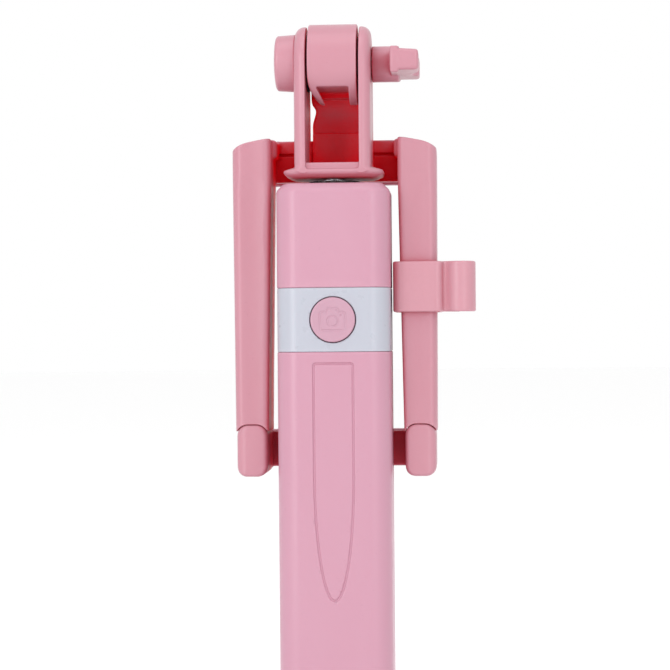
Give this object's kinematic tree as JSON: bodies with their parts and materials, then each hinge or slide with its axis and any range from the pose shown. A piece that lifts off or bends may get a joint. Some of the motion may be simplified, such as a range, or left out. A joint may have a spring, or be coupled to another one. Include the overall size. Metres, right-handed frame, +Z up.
{
  "type": "selfie stick",
  "caption": "Folded selfie stick: rectangular handle with shutter button, nested telescopic rod, hinged head and sprung phone clamp folded down beside the handle.",
  "frame": {"origin": "middle of the end cap's flat face, on the telescopic rod's axis", "axes": "+Z up the stick towards the head, -Y out of the shutter button, +X towards the thumb knob"},
  "size_m": [0.0541, 0.0362, 0.1804],
  "materials": {
    "handle_pink": "satin soft-touch",
    "head_pink": "semi-gloss moulded",
    "clip_pink": "semi-gloss moulded",
    "button_pink": "semi-gloss moulded",
    "band_white": "smooth gloss",
    "tube_steel": "polished stainless",
    "hardware_steel": "plain zinc-plated",
    "brass": "turned",
    "pad_silicone": "matte silicone",
    "black_plastic": "matte moulded",
    "board_green": "solder mask",
    "battery_wrap": "foil pouch"
  },
  "bodies": {
    "handle": {"end_cap": "handle_pink", "lower_shell": "handle_pink", "button_band": "band_white", "upper_shell": "handle_pink", "chassis": "black_plastic", "end_cap_screws": "hardware_steel", "outer_tube": "tube_steel", "rod_collar": "tube_steel", "main_board": "board_green", "shutter_switch": "hardware_steel", "battery": "battery_wrap", "charge_board": "board_green", "charge_socket": "hardware_steel", "leads": "black_plastic"},
    "button": {"shutter_button": "button_pink", "switch_stem": "black_plastic"},
    "section_1": {"tube_1": "tube_steel", "bush_1": "brass"},
    "section_2": {"tube_2": "tube_steel", "bush_2": "brass"},
    "section_3": {"tube_3": "tube_steel", "bush_3": "brass"},
    "section_4": {"tube_4": "tube_steel", "bush_4": "brass"},
    "head": {"tube_5": "tube_steel", "bush_5": "brass", "head_insert": "brass", "head_pin": "hardware_steel", "yoke": "head_pink", "nut_cap": "head_pink", "hinge_nut": "brass", "hinge_washers": "black_plastic"},
    "knob": {"hinge_knob": "head_pink", "hinge_bolt": "hardware_steel"},
    "clamp": {"clamp_frame": "head_pink", "fixed_pad": "pad_silicone", "rod_guides": "black_plastic", "rail_plugs": "head_pink", "left_spring": "hardware_steel", "right_spring": "hardware_steel"},
    "jaw": {"moving_jaw": "head_pink", "moving_pad": "pad_silicone", "guide_rods": "tube_steel", "rod_stops": "hardware_steel"},
    "clip": {"rail_clip": "clip_pink"}
  },
  "joints": [
    {"name": "section_1_slide", "type": "slide", "parent": "handle", "child": "section_1", "axis": [0, 0, 1], "range_m": [0, 0.11]},
    {"name": "section_2_slide", "type": "slide", "parent": "section_1", "child": "section_2", "axis": [0, 0, 1], "range_m": [0, 0.11]},
    {"name": "section_3_slide", "type": "slide", "parent": "section_2", "child": "section_3", "axis": [0, 0, 1], "range_m": [0, 0.11]},
    {"name": "section_4_slide", "type": "slide", "parent": "section_3", "child": "section_4", "axis": [0, 0, 1], "range_m": [0, 0.11]},
    {"name": "head_slide", "type": "slide", "parent": "section_4", "child": "head", "axis": [0, 0, 1], "range_m": [0, 0.11]},
    {"name": "clamp_hinge", "type": "hinge", "parent": "head", "child": "clamp", "pos_m": [0, 0, 0.1714], "axis": [1, 0, 0], "range_deg": [0, 270]},
    {"name": "knob_turn", "type": "hinge", "parent": "head", "child": "knob", "pos_m": [0, 0, 0.1714], "axis": [1, 0, 0], "range_deg": [0, 270]},
    {"name": "jaw_slide", "type": "slide", "parent": "clamp", "child": "jaw", "axis": [0, 0, -1], "range_m": [0, 0.028], "stiffness_N_per_m": 300, "springref_m": -0.02, "deforming": ["left_spring", "right_spring"]},
    {"name": "clip_slide", "type": "slide", "parent": "clamp", "child": "clip", "axis": [0, 0, -1], "range_m": [0, 0.024]},
    {"name": "button_press", "type": "slide", "parent": "handle", "child": "button", "axis": [0, 1, 0], "range_m": [0, 0.0005], "stiffness_N_per_m": 3000, "springref_m": -0.0002}
  ]
}
